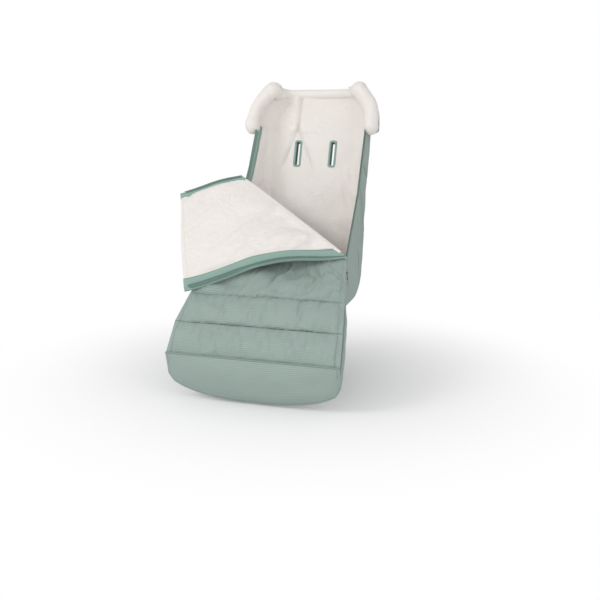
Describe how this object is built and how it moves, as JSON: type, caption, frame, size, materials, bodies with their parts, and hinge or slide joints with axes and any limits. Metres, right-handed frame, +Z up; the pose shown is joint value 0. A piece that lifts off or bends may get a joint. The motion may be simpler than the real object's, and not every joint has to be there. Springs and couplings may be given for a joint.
{
  "type": "stroller footmuff",
  "caption": "Padded footmuff for a pushchair seat, with a quilted zipped cover whose upper flap is folded open over a fleece-lined back.",
  "frame": {"origin": "centre of the underside of the flat grip panel under the seat", "axes": "+Z up, +X to the right-hand side as seen from the foot end, -Y towards the foot end"},
  "size_m": [0.5242, 0.5832, 0.7159],
  "materials": {
    "black_metal": "black lacquer, satin",
    "facing_fabric": "plain weave facing, matt",
    "grey_cord": "braided cord",
    "grip_mesh": "rubberised mesh",
    "lining_fleece": "soft short-pile fleece, matt",
    "shell_fabric": "fine horizontal rib weave, matt",
    "strap_webbing": "elastic webbing",
    "wadding": "loose polyester wadding",
    "zip_tape": "woven tape with moulded coil"
  },
  "bodies": {
    "bag": {"back_lining": "lining_fleece", "back_shell": "shell_fabric", "back_wadding": "wadding", "base_zip_left": "zip_tape", "base_zip_right": "zip_tape", "cover_lining": "lining_fleece", "cover_shell": "shell_fabric", "cover_wadding": "wadding", "cover_zip_left": "zip_tape", "cover_zip_right": "zip_tape", "grip_panel": "grip_mesh", "head_lining": "lining_fleece", "head_shell": "shell_fabric", "head_wadding": "wadding", "leg_lining": "lining_fleece", "leg_shell": "shell_fabric", "leg_wadding": "wadding", "pocket_elastic": "strap_webbing", "pocket_rear": "shell_fabric", "seat_lining": "lining_fleece", "seat_shell": "shell_fabric", "seat_wadding": "wadding", "slot_binding_crotch": "strap_webbing", "slot_binding_shoulder_left": "strap_webbing", "slot_binding_shoulder_right": "strap_webbing", "slot_binding_waist_left": "strap_webbing", "slot_binding_waist_right": "strap_webbing", "strap_anchor_left": "strap_webbing", "strap_anchor_right": "strap_webbing", "strap_right": "strap_webbing", "stud_post": "black_metal", "toe_lining": "lining_fleece", "toe_shell": "shell_fabric", "toe_wadding": "wadding", "wing_facing_left": "facing_fabric", "wing_facing_right": "facing_fabric", "zip_stop_left": "black_metal", "zip_stop_right": "black_metal"},
    "flap": {"flap_band_left": "facing_fabric", "flap_band_right": "facing_fabric", "flap_lining": "lining_fleece", "flap_shell": "shell_fabric", "flap_wadding": "wadding", "flap_zip_left": "zip_tape", "flap_zip_right": "zip_tape"},
    "slider_right": {"slider_body_right": "black_metal"},
    "slider_left": {"slider_body_left": "black_metal"},
    "puller_right": {"puller_loop_right": "grey_cord", "puller_plate_right": "black_metal"},
    "puller_left": {"puller_loop_left": "grey_cord", "puller_plate_left": "black_metal"},
    "strap_tab": {"strap_left": "strap_webbing", "stud_cap": "black_metal", "stud_socket": "black_metal"}
  },
  "joints": [
    {"name": "flap_fold", "type": "hinge", "parent": "bag", "child": "flap", "pos_m": [0.16037, -0.04787, 0.14011], "axis": [-0.8215, 0.3434, 0.4552], "range_deg": [0, 163.5]},
    {"name": "slider_right", "type": "slide", "parent": "bag", "child": "slider_right", "axis": [0.21, -0.8051, -0.5547], "range_m": [0, 0.08]},
    {"name": "slider_left", "type": "slide", "parent": "bag", "child": "slider_left", "axis": [-0.0176, -0.6309, -0.7757], "range_m": [0, 0.06]},
    {"name": "puller_right", "type": "hinge", "parent": "slider_right", "child": "puller_right", "pos_m": [0.16703, -0.06831, 0.11075], "axis": [0.9777, 0.1729, 0.1191], "range_deg": [-60, 60]},
    {"name": "puller_left", "type": "hinge", "parent": "slider_left", "child": "puller_left", "pos_m": [-0.15817, 0.07845, 0.28366], "axis": [-0.9998, 0.0111, 0.0137], "range_deg": [-60, 60]},
    {"name": "strap_swing", "type": "hinge", "parent": "bag", "child": "strap_tab", "pos_m": [-0.0837, 0.18546, 0.19644], "axis": [0, 0.3007, 0.9537], "range_deg": [0, 110]}
  ]
}
